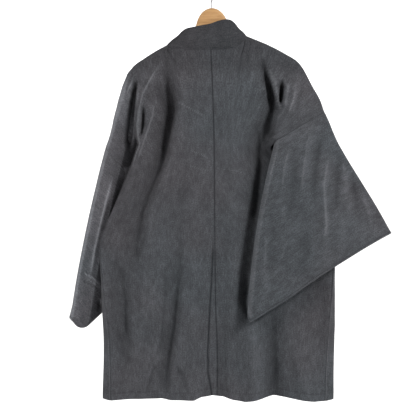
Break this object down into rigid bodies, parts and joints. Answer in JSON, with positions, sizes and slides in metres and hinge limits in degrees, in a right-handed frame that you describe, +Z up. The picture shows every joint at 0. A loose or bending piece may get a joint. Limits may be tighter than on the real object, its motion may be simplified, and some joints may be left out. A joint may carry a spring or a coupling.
{
  "type": "haori jacket on a clothes hanger",
  "caption": "Open-fronted kimono-style jacket in charcoal cloth, hung from a shaped wooden clothes hanger, with its wide sleeves swung over the back and the front.",
  "frame": {"origin": "top of the inside of the hanger's hook, where a rail or a nail carries it", "axes": "+Z up, -Y out of the jacket's back, +X towards the right sleeve seen from behind"},
  "size_m": [0.8079, 0.1274, 1.0606],
  "materials": {
    "cloth": "matte slubbed plain weave",
    "wood": "clear satin varnish",
    "steel": "polished wire"
  },
  "bodies": {
    "root": {"body_left": "cloth", "body_right": "cloth", "sleeve_left": "cloth", "sleeve_right": "cloth", "gusset_left": "cloth", "gusset_right": "cloth", "collar": "cloth", "hanger": "wood", "hook": "steel"}
  },
  "joints": []
}
